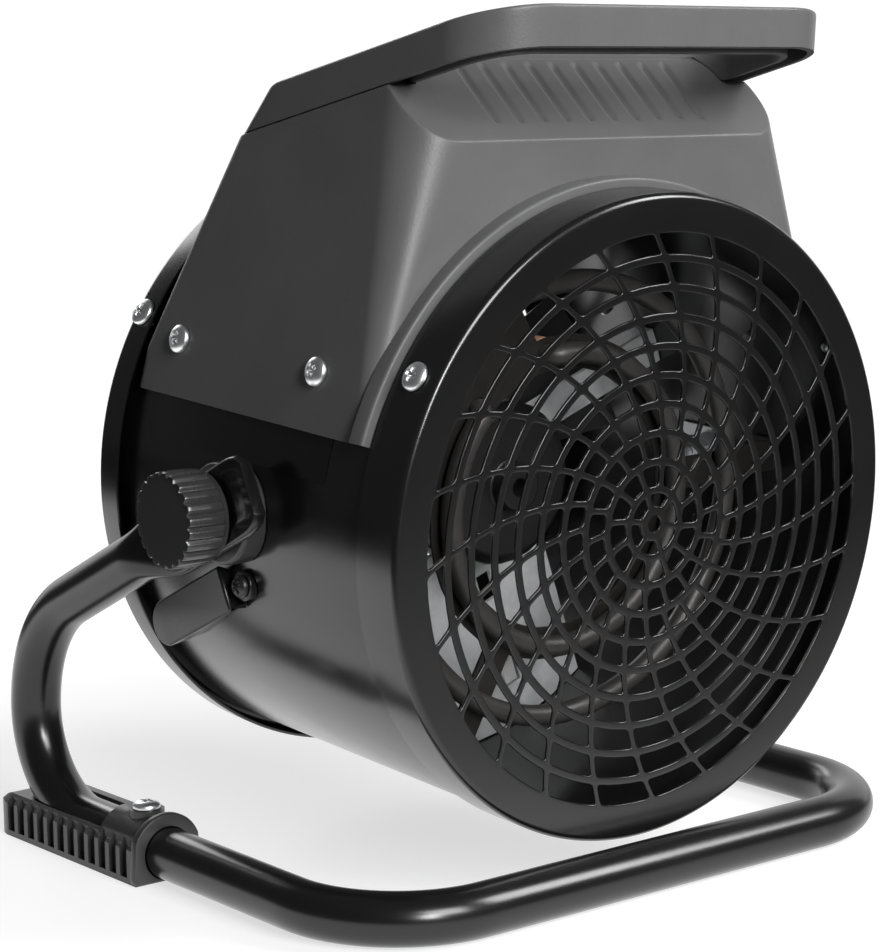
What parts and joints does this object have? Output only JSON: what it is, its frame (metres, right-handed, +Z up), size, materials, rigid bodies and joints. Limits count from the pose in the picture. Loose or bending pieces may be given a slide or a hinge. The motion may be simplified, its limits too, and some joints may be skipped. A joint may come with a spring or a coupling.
{
  "type": "forced air heater",
  "caption": "Portable round forced air heater: steel barrel with spiral outlet grille, fan and tubular elements, moulded cover with carrying handle, on a tilting bent-tube stand.",
  "frame": {"origin": "on the floor, under the middle of the bounding box", "axes": "+Z up; warm air leaves towards -Y; X runs across, along the tilt axis"},
  "size_m": [0.289, 0.2314, 0.3092],
  "materials": {
    "painted_steel": "satin black stove enamel",
    "stand_paint": "glossy black powder coat",
    "moulded_grey": "fine spark-eroded charcoal grey moulding",
    "black_plastic": "satin black moulding",
    "zinc": "bright zinc plate",
    "black_steel": "black oxide",
    "galvanised": "galvanised sheet",
    "element_steel": "heat-darkened stainless tube",
    "ceramic": "unglazed fired ceramic",
    "fan_alloy": "plain pressed sheet",
    "light_plastic": "plain ivory moulding"
  },
  "bodies": {
    "stand": {"stand_tube": "stand_paint", "foot_left": "black_plastic", "foot_right": "black_plastic", "foot_screw_left": "zinc", "foot_screw_right": "zinc"},
    "heater": {"barrel": "painted_steel", "front_guard": "painted_steel", "rear_guard": "painted_steel", "front_guard_screw_1": "zinc", "front_guard_screw_2": "zinc", "front_guard_screw_3": "zinc", "rear_guard_screw_1": "zinc", "rear_guard_screw_2": "zinc", "rear_guard_screw_3": "zinc", "top_cover": "moulded_grey", "handle": "moulded_grey", "cover_screw_1": "zinc", "cover_screw_2": "zinc", "cover_screw_3": "zinc", "cover_screw_4": "zinc", "cable_gland": "black_plastic", "power_body": "light_plastic", "thermostat_body": "light_plastic", "spacer_left": "black_plastic", "spacer_right": "black_plastic", "side_strap_left": "black_plastic", "side_strap_right": "black_plastic", "strap_screw_left": "black_steel", "strap_screw_right": "black_steel", "pivot_stud_left": "zinc", "pivot_stud_right": "zinc", "weld_nut_left": "zinc", "weld_nut_right": "zinc", "motor": "black_steel", "motor_bracket": "galvanised", "element_outer": "element_steel", "element_inner": "element_steel", "element_carrier": "galvanised", "element_bush_1": "ceramic", "element_bush_2": "ceramic", "element_bush_3": "ceramic", "element_bush_4": "ceramic"},
    "rotor": {"fan": "fan_alloy", "fan_shaft": "zinc"},
    "knob_left": {"clamp_knob_left": "black_plastic"},
    "knob_right": {"clamp_knob_right": "black_plastic"},
    "power_control": {"power_dial": "black_plastic", "power_shaft": "zinc"},
    "thermostat_control": {"thermostat_dial": "black_plastic", "thermostat_shaft": "zinc"}
  },
  "joints": [
    {"name": "tilt", "type": "hinge", "parent": "stand", "child": "heater", "pos_m": [0, -0.01225, 0.1375], "axis": [-1, 0, 0], "range_deg": [0, 15]},
    {"name": "fan_spin", "type": "hinge", "parent": "heater", "child": "rotor", "pos_m": [0, 0.03566, 0.14043], "axis": [0, 0.9981, 0.061], "continuous": true},
    {"name": "clamp_left", "type": "hinge", "parent": "stand", "child": "knob_left", "pos_m": [-0.136, -0.01225, 0.1375], "axis": [-1, 0, 0], "range_deg": [0, 360]},
    {"name": "clamp_right", "type": "hinge", "parent": "stand", "child": "knob_right", "pos_m": [0.136, -0.01225, 0.1375], "axis": [1, 0, 0], "range_deg": [0, 360]},
    {"name": "power_turn", "type": "hinge", "parent": "heater", "child": "power_control", "pos_m": [-0.06, 0.02485, 0.25498], "axis": [0, -0.9063, -0.4227], "range_deg": [0, 135]},
    {"name": "thermostat_turn", "type": "hinge", "parent": "heater", "child": "thermostat_control", "pos_m": [0.06, 0.02485, 0.25498], "axis": [0, -0.9063, -0.4227], "range_deg": [0, 270]}
  ]
}
